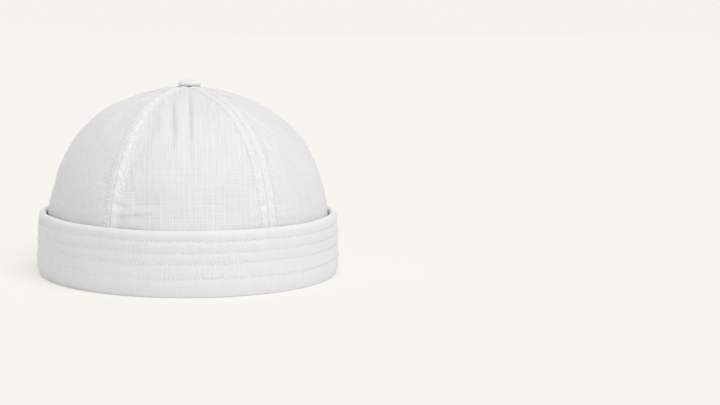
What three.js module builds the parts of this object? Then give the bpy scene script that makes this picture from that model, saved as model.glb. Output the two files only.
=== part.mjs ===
// A watch cap: five cloth panels sewn into a dome, a stitched band turned up round the foot,
// and a cloth-covered button held by a post where the panels meet.
// Millimetres, +Z up, the front of the cap towards -Y, the origin on the floor below the button.
import * as THREE from "three";

// Driving sizes of the dome
const CROWN_HALF_WIDTH = 87.6; // outer face of the crown at floor level, across the head
const LENGTH_TO_WIDTH = 1.14; // the head oval is longer from front to back
const CROWN_RISE = 114; // height of the dome's outer face over the floor
const CROWN_FULLNESS = 3.1; // a higher power gives straighter walls and a flatter top
const CLOTH_WALL = 1.4; // thickness of a crown panel
const SEAM_GAP = 0.3; // clear space between neighbouring pieces
const APEX_HOLE_RADIUS = 3.2; // opening that the panel tips leave for the button's post
const TOP_PEAK = { lift: 0.6, inside: 5.5, outside: 9.5 }; // sewn edges piled up under the button
const TOP_SAG = { lift: -0.6, radius: 27, spread: 13 }; // slacker cloth round that peak

// Driving sizes of the turned-up band
const CUFF_HEIGHT = { front: 37.6, side: 38.2, back: 34.8 }; // floor to top edge
const CUFF_WALL = 3.4; // two plies with interlining
const CUFF_FOOT_OUT = 6.3; // outer face at the foot, measured out from the crown
const CUFF_TOP_OUT = { front: 3.5, side: 4.3, back: 4.1 }; // outer face at the top edge
const CUFF_FALL = 1.3; // power of the cosine by which height and top change from side to front or back
const CUFF_ROLL_RADIUS = 2; // round fold along the top edge
const CUFF_FOLD_THICKNESS = 3; // cloth under the crown where the band turns up
const CUFF_TUCK = { in: 1.9, rise: 8 }; // the outer face draws in over this height above the floor
const CUFF_CORNER = { outer: 0.9, inner: 1.7 }; // cut of the band's lower corners
const CUFF_ROWS_BELOW_TOP = [5.9, 12.4, 18.4, 26.7]; // stitched rows, measured down from the top edge
const CUFF_ROW_DIP = 0.25; // how far a stitched row pulls the cloth in
const CUFF_PUFF = 0.2; // how far the cloth swells between two rows

// Driving sizes of the button
const BUTTON = { radius: 7, height: 3.3, shoulder: 2.4, underside: 115.6 };
const POST = { radius: 2.8, plateRadius: 6.4, plateThickness: 0.4, washerRadius: 6.2, washerThickness: 0.8 };

// Mesh steps
const PANEL_COLUMNS = 20;
const PANEL_ROWS = 19;
const CUFF_SEGMENTS = 60;
const ROLL_STEPS = 5;
const BUTTON_SEGMENTS = 24;
const SHOULDER_STEPS = 5;
const FOLD_SAMPLES = 16;

// The five seams, by their azimuth in degrees at the floor and at the top: 0 is the front, 90 the right side
const SEAM_LEAN_POWER = 14; // a seam runs straight up and leans only near the button
const SEAMS = {
  front_left: { foot: -33.7, top: -46 },
  front_right: { foot: 29.7, top: 31.5 },
  side_right: { foot: 115.5, top: 115.5 },
  back: { foot: 180, top: 180 },
  side_left: { foot: -115.5, top: -115.5 },
};
const PANELS = [
  { name: "crown_front", from: "front_left", to: "front_right" },
  { name: "crown_side_right", from: "front_right", to: "side_right" },
  { name: "crown_back_right", from: "side_right", to: "back" },
  { name: "crown_back_left", from: "back", to: "side_left" },
  { name: "crown_side_left", from: "side_left", to: "front_left" },
];

// Cross-section of a sewn edge: distance from the seam and how far the doubled cloth stands proud
const SEAM_EDGE = [
  { in: 0, lift: 0.1 },
  { in: 1, lift: 0.6 },
  { in: 5, lift: 0.55 },
  { in: 6.6, lift: 0 },
];
const SEAM_FULL_WIDTH = 34; // a panel narrower than this has its sewn edges drawn closer together

// Soft folds and dents. Each runs between two points of a panel, given by the distance across from the
// panel's centre line and the height over the floor, and lifts or sinks a strip of cloth of a given spread.
const FOLDS = [
  { panel: "crown_front", across: -8.9, high: 110.5, acrossEnd: -10.2, low: 84, spread: 2.6, lift: -1.1 },
  { panel: "crown_front", across: -3.4, high: 111.5, acrossEnd: -4.7, low: 84, spread: 2.4, lift: 0.8 },
  { panel: "crown_front", across: 1.5, high: 112, acrossEnd: 0.6, low: 76, spread: 2.1, lift: -1.3 },
  { panel: "crown_front", across: 4.9, high: 111.5, acrossEnd: 3.9, low: 88, spread: 2, lift: 0.9 },
  { panel: "crown_front", across: 9.9, high: 110, acrossEnd: 8.1, low: 90, spread: 2.6, lift: -1 },
  { panel: "crown_front", across: -18, high: 101, acrossEnd: -24.3, low: 66, spread: 3.5, lift: -0.6 },
  { panel: "crown_front", across: 33, high: 82, acrossEnd: 40.3, low: 52, spread: 4, lift: -0.7 },
  { panel: "crown_front", across: -40.5, high: 45, acrossEnd: -19.5, low: 47, spread: 3.5, lift: -0.8 },
  { panel: "crown_front", across: -37.7, high: 51, acrossEnd: -17.7, low: 53, spread: 4.5, lift: 0.5 },
  { panel: "crown_side_right", across: -9.3, high: 112, acrossEnd: -17, low: 108, spread: 2.5, lift: -0.8 },
  { panel: "crown_side_right", across: -27, high: 104, acrossEnd: -56, low: 70, spread: 4.5, lift: -1 },
  { panel: "crown_side_right", across: -31.5, high: 98, acrossEnd: -37, low: 79, spread: 4, lift: 0.9 },
  { panel: "crown_side_right", across: -26, high: 98, acrossEnd: -29, low: 78, spread: 3.5, lift: -0.7 },
  { panel: "crown_side_right", across: 24, high: 78, acrossEnd: 24, low: 52, spread: 14, lift: 0.5 },
  { panel: "crown_side_left", across: 15.6, high: 107, acrossEnd: 35, low: 90, spread: 6, lift: -0.8 },
  { panel: "crown_side_left", across: -18, high: 104, acrossEnd: -19, low: 86, spread: 13, lift: 1 },
  { panel: "crown_back_left", across: -36, high: 82, acrossEnd: -14, low: 82, spread: 3, lift: -0.6 },
  { panel: "crown_back_left", across: -34, high: 77, acrossEnd: -12, low: 77, spread: 4, lift: 0.6 },
  { panel: "crown_back_left", across: 4.8, high: 108, acrossEnd: -3, low: 72, spread: 4.5, lift: -1 },
  { panel: "crown_back_left", across: 9, high: 107, acrossEnd: 5, low: 84, spread: 3.5, lift: 0.8 },
  { panel: "crown_back_left", across: 12.3, high: 104, acrossEnd: 15.5, low: 77, spread: 4, lift: -0.8 },
  { panel: "crown_back_left", across: -24, high: 100, acrossEnd: -16, low: 87, spread: 3, lift: -0.6 },
  { panel: "crown_back_left", across: 8, high: 66, acrossEnd: 18, low: 46, spread: 12, lift: -1.2 },
  { panel: "crown_back_right", across: -27, high: 79, acrossEnd: -14, low: 45, spread: 12, lift: -1.2 },
  { panel: "crown_back_right", across: 4, high: 94, acrossEnd: 9.5, low: 76, spread: 6, lift: -0.6 },
];

// Materials
const cloth = (name, color) =>
  new THREE.MeshStandardMaterial({ name, color, roughness: 0.9, metalness: 0 });
const ripstopCloth = cloth("ripstop_cloth", 0xe9e8e8);
const cuffCloth = cloth("cuff_cloth", 0xe8e7e6);
const buttonCloth = cloth("button_cloth", 0xebeae9);
const postMetal = new THREE.MeshStandardMaterial({
  name: "post_metal",
  color: 0xa5a3a0,
  roughness: 0.5,
  metalness: 0.8,
});

// Half width of the dome at a height: the outer face is (x/a)^2 + (y/b)^2 + (z/rise)^fullness = 1
const halfWidthAt = (z) => CROWN_HALF_WIDTH * Math.sqrt(1 - (z / CROWN_RISE) ** CROWN_FULLNESS);
const heightAt = (halfWidth) =>
  CROWN_RISE * (1 - (halfWidth / CROWN_HALF_WIDTH) ** 2) ** (1 / CROWN_FULLNESS);

// A point of the dome's outer face, and the direction that points straight out of it
function domePoint(azimuth, z) {
  const halfWidth = halfWidthAt(z);
  return new THREE.Vector3(
    halfWidth * Math.sin(azimuth),
    -LENGTH_TO_WIDTH * halfWidth * Math.cos(azimuth),
    z,
  );
}
function domeNormal(point) {
  return new THREE.Vector3(
    (2 * point.x) / CROWN_HALF_WIDTH ** 2,
    (2 * point.y) / (LENGTH_TO_WIDTH * CROWN_HALF_WIDTH) ** 2,
    (CROWN_FULLNESS * point.z ** (CROWN_FULLNESS - 1)) / CROWN_RISE ** CROWN_FULLNESS,
  ).normalize();
}

// How far the cloth stands off the dome near its top
function topLift(z) {
  const halfWidth = halfWidthAt(z);
  const { inside, outside } = TOP_PEAK;
  const peak = TOP_PEAK.lift * (1 - THREE.MathUtils.smoothstep(halfWidth, inside, outside));
  return peak + TOP_SAG.lift * Math.exp(-(((halfWidth - TOP_SAG.radius) / TOP_SAG.spread) ** 2));
}

// Millimetres that one radian of azimuth covers round the dome at a height
const ringSpeed = (azimuth, z) =>
  halfWidthAt(z) * Math.hypot(Math.cos(azimuth), LENGTH_TO_WIDTH * Math.sin(azimuth));

// Azimuth of a seam at a height, in radians
function seamAzimuth(name, z) {
  const { foot, top } = SEAMS[name];
  return THREE.MathUtils.degToRad(foot + (top - foot) * (z / CROWN_RISE) ** SEAM_LEAN_POWER);
}

// The dome's outline from its lower edge to the hole at the top, stepped evenly by length
const CROWN_FOOT = CUFF_FOLD_THICKNESS + SEAM_GAP;
class Meridian extends THREE.Curve {
  getPoint(t, target = new THREE.Vector3()) {
    const lowAngle = Math.acos(halfWidthAt(CROWN_FOOT) / CROWN_HALF_WIDTH);
    const highAngle = Math.acos(APEX_HOLE_RADIUS / CROWN_HALF_WIDTH);
    const halfWidth = CROWN_HALF_WIDTH * Math.cos(lowAngle + t * (highAngle - lowAngle));
    return target.set(halfWidth, 0, heightAt(halfWidth));
  }
}
const meridianHeights = new Meridian().getSpacedPoints(PANEL_ROWS).map((p) => p.z);

// Distance across a panel of a given width, for each column: fixed steps by the seams, even ones between
function acrossPanel(column, width) {
  const scale = Math.min(1, width / SEAM_FULL_WIDTH);
  const last = SEAM_EDGE.length - 1;
  const fromEnd = PANEL_COLUMNS - column;
  if (column <= last) return SEAM_EDGE[column].in * scale;
  if (fromEnd <= last) return width - SEAM_EDGE[fromEnd].in * scale;
  const start = SEAM_EDGE[last].in * scale;
  return start + ((width - 2 * start) * (column - last)) / (PANEL_COLUMNS - 2 * last);
}
function seamLift(column) {
  const steps = Math.min(column, PANEL_COLUMNS - column);
  return steps < SEAM_EDGE.length ? SEAM_EDGE[steps].lift : 0;
}

// The azimuths of a panel's two seams at a height, the second always the greater
function panelEdges({ from, to }, z) {
  const start = seamAzimuth(from, z);
  const end = seamAzimuth(to, z);
  return end > start ? [start, end] : [start, end + 2 * Math.PI];
}

// A fold as a row of points on the dome, each with its share of the lift: full midway, little at the ends
function foldSamples(fold, panel) {
  return Array.from({ length: FOLD_SAMPLES + 1 }, (_, i) => {
    const t = i / FOLD_SAMPLES;
    const z = THREE.MathUtils.lerp(fold.high, fold.low, t);
    const across = THREE.MathUtils.lerp(fold.across, fold.acrossEnd, t);
    const [start, end] = panelEdges(panel, z);
    const centre = (start + end) / 2;
    const share = Math.sin(Math.PI * (0.1 + 0.8 * t));
    return { point: domePoint(centre + across / ringSpeed(centre, z), z), share };
  });
}
function foldLift(folds, point) {
  let total = 0;
  for (const { spread, lift, samples } of folds) {
    const shares = samples.map((s) => s.share * Math.exp(-s.point.distanceToSquared(point) / spread ** 2));
    total += lift * Math.max(...shares);
  }
  return total;
}

// A crown panel: a flat slab of columns and rows, bent onto the dome and drawn in to its two seams
function crownPanel(panel) {
  const folds = FOLDS.filter((f) => f.panel === panel.name).map((f) => ({
    ...f,
    samples: foldSamples(f, panel),
  }));
  const slab = new THREE.BoxGeometry(1, 1, 1, PANEL_COLUMNS, PANEL_ROWS, 1);
  const places = slab.getAttribute("position");
  for (let i = 0; i < places.count; i++) {
    const column = Math.round((places.getX(i) + 0.5) * PANEL_COLUMNS);
    const row = Math.round((places.getY(i) + 0.5) * PANEL_ROWS);
    const depth = places.getZ(i) > 0 ? 0 : CLOTH_WALL;
    const z = meridianHeights[row];
    const [start, end] = panelEdges(panel, z);
    const first = start + SEAM_GAP / 2 / ringSpeed(start, z);
    const turn = end - SEAM_GAP / 2 / ringSpeed(end, z) - first;
    const width = turn * ringSpeed((start + end) / 2, z);
    const point = domePoint(first + (turn * acrossPanel(column, width)) / width, z);
    const narrow = Math.min(1, width / SEAM_FULL_WIDTH);
    const lift = seamLift(column) * narrow + foldLift(folds, point) + topLift(z);
    point.addScaledVector(domeNormal(point), lift - depth);
    places.setXYZ(i, point.x, point.y, point.z);
  }
  return named(slab, panel.name, ripstopCloth);
}

// A size of the band at an azimuth, eased from its side value to its front or back one
function roundTheBand({ front, side, back }, azimuth) {
  const c = Math.cos(azimuth);
  return THREE.MathUtils.lerp(side, c > 0 ? front : back, Math.abs(c) ** CUFF_FALL);
}

// The band's section as points out from the crown and up from the floor, closed on itself:
// flat foot, outer face with its stitched rows, round top fold, inner face, and the lip under the crown.
function cuffSection(height, topOut) {
  const tuckAt = (z) => CUFF_TUCK.in * Math.max(0, 1 - z / CUFF_TUCK.rise) ** 2;
  const outAt = (z) => THREE.MathUtils.mapLinear(z, 0, height, CUFF_FOOT_OUT, topOut) - tuckAt(z);
  const section = [];
  const add = (out, up) => section.push(new THREE.Vector2(out, up));
  add(-CLOTH_WALL + CUFF_CORNER.inner, 0);
  add(outAt(0) - CUFF_CORNER.outer / 2, 0);
  add(outAt(CUFF_CORNER.outer), CUFF_CORNER.outer);
  add(outAt(CUFF_TUCK.rise / 2), CUFF_TUCK.rise / 2);
  const rows = CUFF_ROWS_BELOW_TOP.map((down) => height - down).reverse();
  let below = CUFF_TUCK.rise / 2;
  for (const row of rows) {
    add(outAt((below + row) / 2) + CUFF_PUFF, (below + row) / 2);
    add(outAt(row) - CUFF_ROW_DIP, row);
    below = row;
  }
  const rollCentre = new THREE.Vector2(outAt(height) - CUFF_ROLL_RADIUS, height - CUFF_ROLL_RADIUS);
  for (let i = 0; i <= ROLL_STEPS; i++) {
    const angle = (Math.PI * i) / ROLL_STEPS;
    add(
      rollCentre.x + CUFF_ROLL_RADIUS * Math.cos(angle),
      rollCentre.y + CUFF_ROLL_RADIUS * Math.sin(angle),
    );
  }
  add(outAt(rows[2]) - CUFF_WALL, rows[2]);
  add(outAt(CUFF_FOLD_THICKNESS) - CUFF_WALL, CUFF_FOLD_THICKNESS);
  add(-CLOTH_WALL, CUFF_FOLD_THICKNESS);
  add(-CLOTH_WALL, CUFF_CORNER.inner);
  section.push(section[0].clone());
  return section;
}

// The band: its section turned round the axis, then carried along the head oval
function cuff() {
  const reach = CROWN_HALF_WIDTH;
  const upright = cuffSection(CUFF_HEIGHT.side, CUFF_TOP_OUT.side).map(
    (p) => new THREE.Vector2(reach + p.x, p.y),
  );
  const ring = new THREE.LatheGeometry(upright, CUFF_SEGMENTS);
  const places = ring.getAttribute("position");
  for (let i = 0; i < places.count; i++) {
    const azimuth = Math.atan2(places.getX(i), places.getZ(i));
    const index = i % upright.length;
    const height = roundTheBand(CUFF_HEIGHT, azimuth);
    const { x: out, y: up } = cuffSection(height, roundTheBand(CUFF_TOP_OUT, azimuth))[index];
    const base = domePoint(azimuth, 0);
    base.addScaledVector(domeNormal(base), out);
    places.setXYZ(i, base.x, base.y, up);
  }
  return named(ring, "cuff", cuffCloth);
}

// The covered button: a low dome with round shoulders
function topButton() {
  const { radius, height, shoulder, underside } = BUTTON;
  const profile = [new THREE.Vector2(0, underside), new THREE.Vector2(radius - 0.5, underside)];
  for (let i = 0; i <= SHOULDER_STEPS; i++) {
    const angle = (Math.PI / 2) * (i / SHOULDER_STEPS);
    const flat = radius - shoulder;
    profile.push(
      new THREE.Vector2(
        flat + shoulder * Math.cos(angle),
        underside + 0.7 + (height - 1.1) * Math.sin(angle),
      ),
    );
  }
  profile.push(new THREE.Vector2(0, underside + height));
  return named(turned(profile), "top_button", buttonCloth);
}

// The button's post: a plate under the button, a stem through the panel tips, a washer inside the crown
function buttonPost() {
  const plateTop = BUTTON.underside - SEAM_GAP;
  const plateFoot = plateTop - POST.plateThickness;
  const innerFace = heightAt(POST.washerRadius) + TOP_PEAK.lift / 2 - SEAM_EDGE[0].lift - CLOTH_WALL;
  const washerTop = innerFace - SEAM_GAP;
  const washerFoot = washerTop - POST.washerThickness;
  const profile = [
    [0, washerFoot],
    [POST.washerRadius, washerFoot],
    [POST.washerRadius, washerTop],
    [POST.radius, washerTop],
    [POST.radius, plateFoot],
    [POST.plateRadius, plateFoot],
    [POST.plateRadius, plateTop],
    [0, plateTop],
  ].map(([r, z]) => new THREE.Vector2(r, z));
  return named(turned(profile), "button_post", postMetal);
}

// A profile turned about the upright axis
function turned(profile) {
  return new THREE.LatheGeometry(profile, BUTTON_SEGMENTS).rotateX(Math.PI / 2);
}

function named(geometry, name, material) {
  const mesh = new THREE.Mesh(geometry, material);
  mesh.name = name;
  return mesh;
}

const watchCap = new THREE.Group();
watchCap.add(...PANELS.map(crownPanel), cuff(), topButton(), buttonPost());

export default watchCap;
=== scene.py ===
"""A white watch cap: a crown of five ripstop panels, a stitched turned-up cuff and a covered button.

Millimetres are used for all working sizes and turned into metres when a mesh is written.
Azimuth 0 is the front of the cap, towards -Y, and 90 degrees is the side at +X. Left and right are as they
look from the front.
"""

import bpy
import numpy as np
from mathutils import Matrix


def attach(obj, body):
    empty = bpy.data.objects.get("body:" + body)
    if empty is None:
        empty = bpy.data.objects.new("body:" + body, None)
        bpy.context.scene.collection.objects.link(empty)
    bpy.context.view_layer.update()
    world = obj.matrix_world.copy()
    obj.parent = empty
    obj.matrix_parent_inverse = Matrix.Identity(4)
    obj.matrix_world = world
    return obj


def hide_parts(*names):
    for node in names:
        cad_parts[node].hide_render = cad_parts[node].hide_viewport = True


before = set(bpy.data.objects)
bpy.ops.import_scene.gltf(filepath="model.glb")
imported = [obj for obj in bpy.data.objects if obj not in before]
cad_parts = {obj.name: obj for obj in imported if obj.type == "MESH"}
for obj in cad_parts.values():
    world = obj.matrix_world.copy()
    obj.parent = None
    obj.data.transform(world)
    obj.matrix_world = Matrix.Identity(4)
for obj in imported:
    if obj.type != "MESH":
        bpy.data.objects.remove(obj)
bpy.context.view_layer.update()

# Sizes of the dome
MM = 0.001
CROWN_HALF_WIDTH = 87.6
LENGTH_TO_WIDTH = 1.14
CROWN_RISE = 114.0
CROWN_FULLNESS = 3.1
CROWN_FOOT = 3.3
CLOTH_WALL = 1.4
APEX_HOLE = 3.2
OUTLINE_STEPS = 3000
TOP_PEAK = {"lift": 0.8, "inside": 5.5, "outside": 9.5}  # sewn edges piled up under the button
TOP_SAG = {"lift": -0.6, "radius": 27.0, "spread": 13.0}  # slacker cloth round that peak

# Sewn edges of the crown, by distance from the seam
TOPSTITCH_IN = 5.0  # usual distance of a stitched row from its seam
SEAM_STRIP = {"lift": 0.28, "full": 0.6, "falls": (5.0, 7.0)}  # doubled cloth beside the seam
SEAM_RIDGE = {"lift": 0.4, "reach": 6.5}  # height of the seam on top of that, and how far it slopes away
SEAM_PILLOW = 0.09  # swelling between the seam and its stitches
SEAM_GROOVE = {"depth": 0.5, "spread": 0.42}
TOPSTITCH_DIP = {"depth": 0.06, "spread": 0.45}
PUCKER = {"strip": 0.24, "beyond": 0.15, "lumps": 0.06}  # heights of the gathers along a seam
SEAM_FULL_WIDTH = 17.0  # a panel narrower than this has its sewn edges drawn together
SEAM_TIGHTEST = 0.05
SEAM_STITCH = {"pitch": 2.5, "length": 1.8, "radius": 0.31, "slant": 0.15}
SEAM_ROW = {"from_foot": 26, "from_top": 5.5, "points": 500}  # where a stitched row starts and stops
STITCH_RINGS = np.array([-0.96, -0.72, -0.36, 0.0, 0.36, 0.72, 0.96])  # from end to end of one stitch
STITCH_SIDES = 8

# Sizes of the cuff, measured out from the crown's foot
CUFF_HEIGHT = {"front": 37.6, "side": 38.2, "back": 34.8}
CUFF_FOOT_OUT = 6.3
CUFF_TOP_OUT = {"front": 3.5, "side": 4.3, "back": 4.1}
CUFF_FALL = 1.3  # power of the cosine by which height and top change from side to front or back
CUFF_TUCK = {"in": 1.9, "rise": 8.0}  # the outer face draws in over this height above the floor
CUFF_CORNER = {"outer": 0.9, "inner": 1.7}
CUFF_WALL = 3.4
CUFF_ROLL = 2.0  # half the thickness of the round top edge
CUFF_ROLL_RISE = 3.4  # height of that round on its outer side
CUFF_ROLL_BLEND = 9.0  # the inner face thickens into the round over this height
CUFF_FOLD = 3.0
CUFF_RUN_RATIO = 1.055  # the outer face is this much longer round than the crown's foot
CUFF_ROWS = (5.9, 12.4, 18.4, 26.7)  # stitched rows, down from the top edge
CUFF_STITCH = {"pitch": 2.4, "length": 2.1, "radius": 0.33, "slant": -0.62}
CUFF_ROW_DEPTH = (0.19, 0.17, 0.15, 0.12)  # dip of the cloth at each row
CUFF_SWELL = (0.3, 0.5, 0.34, 0.2, 0.15)  # swelling of the cloth over, between and under the rows
CUFF_SWELL_SKEW = 0.8  # a power under 1 makes the cloth swell out sooner below a row than above one
CUFF_FLATTER = {"share": 0.6, "azimuth": 1.1, "spread": 0.65}  # the rows lie flatter on the right (radians)
CUFF_COLUMNS = 760
CUFF_FACE_POINT = 20  # the section's point, on the outer face, whose ring gives the cloth's length round
CUFF_BY_A_LINE = np.array([[0, 0.18, 0.36, 0.6, 0.95, 1.45]])  # the section's points beside a stitched row
CUFF_BETWEEN_LINES = (2, 3, 3, 3, 6)  # further points between one line of the face and the next
CUFF_ROW_POINTS = 2400

# Sizes of the button
BUTTON_RADIUS = 7.0
BUTTON_UNDERSIDE = 115.6
BUTTON_HEIGHT = 3.3
BUTTON_SIDE = 0.8  # height of the rim's widest ring over the underside
BUTTON_SKIRT = 0.2  # how far the rim hangs below the underside
BUTTON_SIDES = 96
BUTTON_RINGS = 30

# Seams by azimuth in degrees at the floor and at the top
SEAM_LEAN_POWER = 14  # a seam runs straight up and leans only near the button
SEAMS = {
    "front_left": (-33.7, -46.0),
    "front_right": (29.7, 31.5),
    "side_right": (115.5, 115.5),
    "back": (180.0, 180.0),
    "side_left": (-115.5, -115.5),
}

# Panels by their two seams: the width of the sewn strip at each seam, how strong the painted highlight on
# that strip is, the columns of the panel's grid, and the seed of its ripples
PANELS = {
    "crown_front": {
        "seams": ("front_left", "front_right"), "strips": (5.0, 4.9), "painted_strip_highlight": (1.9, 0.75),
        "columns": 124, "seed": 11,
    },
    "crown_side_right": {
        "seams": ("front_right", "side_right"), "strips": (6.2, 5.0), "painted_strip_highlight": (1.6, 0.2),
        "columns": 160, "seed": 12,
    },
    "crown_back_right": {
        "seams": ("side_right", "back"), "strips": (5.0, 5.2), "painted_strip_highlight": (0.15, 1.0),
        "columns": 124, "seed": 13,
    },
    "crown_back_left": {
        "seams": ("back", "side_left"), "strips": (5.2, 5.0), "painted_strip_highlight": (1.0, 0.15),
        "columns": 124, "seed": 14,
    },
    "crown_side_left": {
        "seams": ("side_left", "front_left"), "strips": (5.0, 4.0), "painted_strip_highlight": (0.2, 0.5),
        "columns": 160, "seed": 15,
    },
}
PANEL_ROWS = 200
COLUMN_CROWDING = 0.62  # share by which the columns close up towards the seams
INNER_LIFT = (-1.0, 0.6)  # the inner face follows the outer one's lift only between these
SLACK = {"slow": 0.3, "quick": 0.05}  # heights of the ripples in the loose cloth

# Folds and dents of the panels: distance across from the panel's centre line and height over the floor at
# both ends, spread to each side, and lift
FOLDS = {
    "crown_front": [
        (-15.5, 109, -16.5, 86, 3.0, 0.6),
        (-9.8, 110.5, -10.8, 84, 2.4, -1.2),
        (-5.7, 111.5, -6.6, 84, 2.2, 1.0),
        (0.7, 113, 0.3, 101, 2.1, -1.0),
        (0.4, 110, -0.9, 76, 2.3, -1.9),
        (4.1, 112.5, 2.7, 88, 2.0, 1.1),
        (7.6, 107, 6.4, 90, 2.6, -0.8),
        (10.5, 108, 9.5, 92, 5.0, -0.6),
        (-21.0, 99, -36.5, 64, 3.5, -0.5),
        (18.0, 97, 33.0, 75, 3.5, -1.0),
        (33.0, 82, 40.3, 52, 4.0, -1.0),
        (-40.5, 42.5, -19.5, 45.0, 3.0, -0.3),
        (-44.0, 45.0, -17.7, 47.4, 3.4, 0.6),
        (-43.5, 38.0, 42.0, 38.0, 5.5, 0.75),
    ],
    "crown_side_right": [
        (-33.0, 99, -54.5, 71, 3.2, -2.0),
        (-37.0, 97, -38.0, 78, 3.0, 1.7),
        (-32.5, 100, -34.5, 80, 1.9, -1.2),
        (-29.5, 99, -31.0, 83, 3.0, 0.8),
        (24.0, 78, 24.0, 52, 14.0, 0.5),
    ],
    "crown_side_left": [
        (15.6, 107, 35.0, 90, 6.0, -0.8),
        (-18.0, 104, -19.0, 86, 13.0, 1.0),
    ],
    "crown_back_left": [
        (-36.0, 82, -14.0, 82, 3.0, -0.6),
        (-34.0, 77, -12.0, 77, 4.0, 0.6),
        (4.8, 108, -3.0, 72, 4.5, -1.0),
        (9.0, 107, 5.0, 84, 3.5, 0.8),
        (12.3, 104, 15.5, 77, 4.0, -0.8),
        (-24.0, 100, -16.0, 87, 3.0, -0.6),
        (8.0, 66, 18.0, 46, 12.0, -1.2),
    ],
    "crown_back_right": [
        (-27.0, 79, -14.0, 45, 12.0, -1.2),
        (4.0, 94, 9.5, 76, 6.0, -0.6),
    ],
}
FOLD_SAMPLES = 24
FOLD_AT_SEAM = 0.25  # share of a fold that is left where it runs into a sewn edge

# Sharp little creases in the same columns
CREASES = {
    "crown_front": [
        (-46.0, 42.8, -19.5, 45.9, 0.7, -0.5),
        (-46.0, 44.6, -19.5, 47.7, 1.5, 0.4),
        (-34.4, 73, -31.4, 58, 0.7, 0.3),
        (17.8, 109.5, 14.6, 86, 0.8, -0.6),
    ],
    "crown_side_right": [
        (-4.5, 112.6, -8.5, 111.8, 1.4, -1.8),
        (-8.5, 111.8, -15.8, 108.4, 1.6, -2.3),
        (-4.5, 112.3, -15.0, 107.8, 2.0, 0.7),
    ],
    "crown_side_left": [
        (9.0, 111.6, 16.0, 106.8, 3.0, -1.3),
    ],
}


def ease(low, high, x):
    """Rises from 0 at low to 1 at high as 3t^2 - 2t^3 of the clipped fraction t."""
    t = np.clip((x - low) / (high - low), 0, 1)
    return t * t * (3 - 2 * t)


def hump(x, centre, spread):
    """Bell curve: e to the minus square of the distance from the centre over the spread."""
    return np.exp(-(((x - centre) / spread) ** 2))


def running_length(points):
    """Length along a line of points, starting from 0."""
    return np.concatenate([[0], np.cumsum(np.linalg.norm(np.diff(points, axis=0), axis=-1))])


def ripple(u, v, seed, shortest, longest, waves=26):
    """Sum of plane waves of seeded length, heading and phase, scaled so that it mostly stays within one."""
    rng = np.random.default_rng(seed)
    turns = 2 * np.pi / np.exp(rng.uniform(np.log(shortest), np.log(longest), waves))
    heading = rng.uniform(0, 2 * np.pi, waves)
    phase = rng.uniform(0, 2 * np.pi, waves)
    total = sum(
        np.sin(k * (u * np.cos(h) + v * np.sin(h)) + p) for k, h, p in zip(turns, heading, phase)
    )
    return total / np.sqrt(waves)


# The dome


def half_width(z):
    """Half width of the dome at a height, from (r/a)^2 + (z/rise)^fullness = 1."""
    return CROWN_HALF_WIDTH * np.sqrt(1 - (np.clip(z, 0, CROWN_RISE) / CROWN_RISE) ** CROWN_FULLNESS)


def dome(azimuth, z):
    """Oval rings of the dome's half width: x = r sin t, y = -ratio r cos t."""
    azimuth, z = np.broadcast_arrays(azimuth, z)
    r = half_width(z)
    return np.stack([r * np.sin(azimuth), -LENGTH_TO_WIDTH * r * np.cos(azimuth), z], -1)


def dome_out(points):
    """Unit gradient of (x/a)^2 + (y/b)^2 + (z/rise)^fullness, which points straight out of the dome."""
    x, y, z = np.moveaxis(points, -1, 0)
    out = np.stack(
        [
            2 * x / CROWN_HALF_WIDTH**2,
            2 * y / (LENGTH_TO_WIDTH * CROWN_HALF_WIDTH) ** 2,
            CROWN_FULLNESS * np.clip(z, 0, None) ** (CROWN_FULLNESS - 1) / CROWN_RISE**CROWN_FULLNESS,
        ],
        -1,
    )
    return out / np.linalg.norm(out, axis=-1, keepdims=True)


def ring_speed(azimuth, z):
    """Millimetres of oval ring for one radian of azimuth."""
    return half_width(z) * np.hypot(np.cos(azimuth), LENGTH_TO_WIDTH * np.sin(azimuth))


def outline_table():
    """Heights and running lengths along the dome's outline, from foot to button hole, in fine steps."""
    first = np.arccos(half_width(CROWN_FOOT) / CROWN_HALF_WIDTH)
    last = np.arccos(APEX_HOLE / CROWN_HALF_WIDTH)
    r = CROWN_HALF_WIDTH * np.cos(np.linspace(first, last, OUTLINE_STEPS))
    z = CROWN_RISE * (1 - (r / CROWN_HALF_WIDTH) ** 2) ** (1 / CROWN_FULLNESS)
    wide = r * (1 + LENGTH_TO_WIDTH) / 2
    return z, np.concatenate([[0], np.cumsum(np.hypot(np.diff(wide), np.diff(z)))])


OUTLINE_Z, OUTLINE_RUN = outline_table()


# The crown panels


def panel_edges(name, z):
    """Azimuths of a panel's two seams: foot value plus the lean times a power of the relative height."""
    start, end = (
        np.radians(foot + (top - foot) * (z / CROWN_RISE) ** SEAM_LEAN_POWER)
        for foot, top in (SEAMS[s] for s in PANELS[name]["seams"])
    )
    return start, np.where(end > start, end, end + 2 * np.pi)


def panel_width(name, z):
    """Width of a panel along its ring, and the share to which its sewn edges are drawn together there."""
    start, end = panel_edges(name, z)
    width = (end - start) * ring_speed((start + end) / 2, z)
    return width, np.clip(width / SEAM_FULL_WIDTH, SEAM_TIGHTEST, 1)


def top_lift(z):
    """Low peak of constant lift inside one ring, eased away by the next, and a bell-shaped sag round it."""
    r = half_width(z)
    peak = TOP_PEAK["lift"] * (1 - ease(TOP_PEAK["inside"], TOP_PEAK["outside"], r))
    return peak + TOP_SAG["lift"] * hump(r, TOP_SAG["radius"], TOP_SAG["spread"])


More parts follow.
